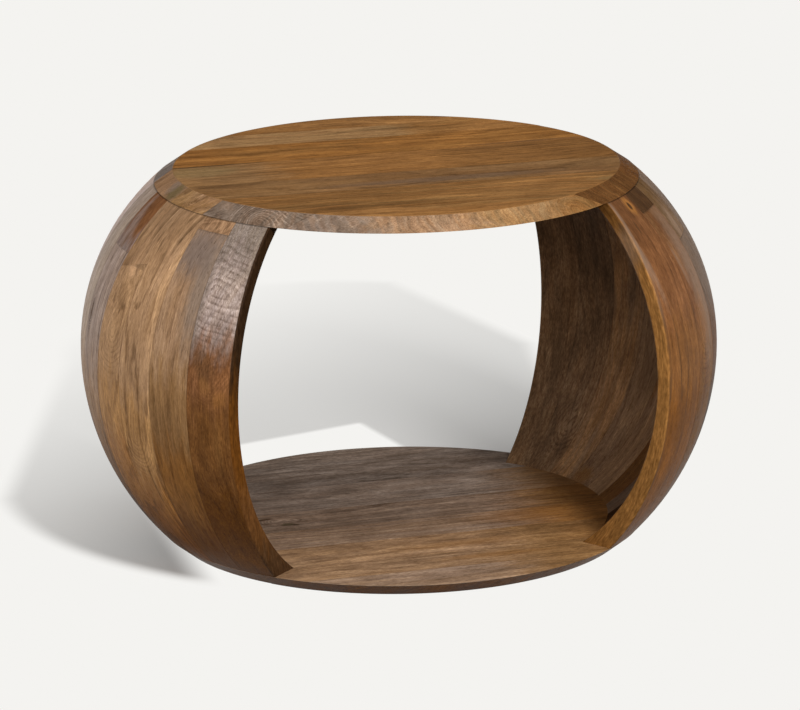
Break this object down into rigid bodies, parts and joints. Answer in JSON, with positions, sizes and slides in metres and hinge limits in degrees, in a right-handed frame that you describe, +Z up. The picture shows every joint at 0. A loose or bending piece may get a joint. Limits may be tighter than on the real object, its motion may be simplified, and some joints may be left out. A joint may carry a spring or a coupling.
{
  "type": "drum coffee table",
  "caption": "Round drum-shaped wooden coffee table with a bevelled plank top, a plank base and bulging stave walls, open from front to back.",
  "frame": {"origin": "on the floor under the centre of the drum", "axes": "+Z up, X from the left wall to the right wall, the open way runs along Y with the front at -Y"},
  "size_m": [0.762, 0.584, 0.45],
  "materials": {
    "golden_mango": "satin lacquer over golden-brown stained mango wood",
    "tan_mango": "satin lacquer over light tan stained mango wood",
    "grey_mango": "satin lacquer over grey-brown stained mango wood",
    "umber_mango": "satin lacquer over dark umber stained mango wood",
    "russet_mango": "satin lacquer over red-brown stained mango wood",
    "dowel_wood": "bare turned hardwood, hidden in the joints"
  },
  "bodies": {
    "root": {"base_plank_1": "tan_mango", "base_plank_2": "golden_mango", "base_plank_3": "golden_mango", "base_plank_4": "umber_mango", "base_plank_5": "umber_mango", "base_plank_6": "umber_mango", "base_plank_7": "umber_mango", "left_base_dowels": "dowel_wood", "left_stave_1": "grey_mango", "left_stave_10": "tan_mango", "left_stave_2_lower": "grey_mango", "left_stave_2_upper": "tan_mango", "left_stave_3": "tan_mango", "left_stave_4_lower": "tan_mango", "left_stave_4_upper": "tan_mango", "left_stave_5_lower": "tan_mango", "left_stave_5_upper": "russet_mango", "left_stave_6": "tan_mango", "left_stave_7": "umber_mango", "left_stave_8_lower": "tan_mango", "left_stave_8_upper": "grey_mango", "left_stave_9": "russet_mango", "left_top_dowels": "dowel_wood", "right_base_dowels": "dowel_wood", "right_stave_1": "russet_mango", "right_stave_10": "umber_mango", "right_stave_2_lower": "russet_mango", "right_stave_2_upper": "umber_mango", "right_stave_3_lower": "russet_mango", "right_stave_3_upper": "tan_mango", "right_stave_4": "russet_mango", "right_stave_5": "umber_mango", "right_stave_6_lower": "russet_mango", "right_stave_6_upper": "russet_mango", "right_stave_7": "tan_mango", "right_stave_8": "umber_mango", "right_stave_9_lower": "russet_mango", "right_stave_9_upper": "russet_mango", "right_top_dowels": "dowel_wood", "top_plank_1": "golden_mango", "top_plank_2": "golden_mango", "top_plank_3": "grey_mango", "top_plank_4": "golden_mango", "top_plank_5": "golden_mango", "top_plank_6": "tan_mango", "top_plank_7": "golden_mango"}
  },
  "joints": []
}
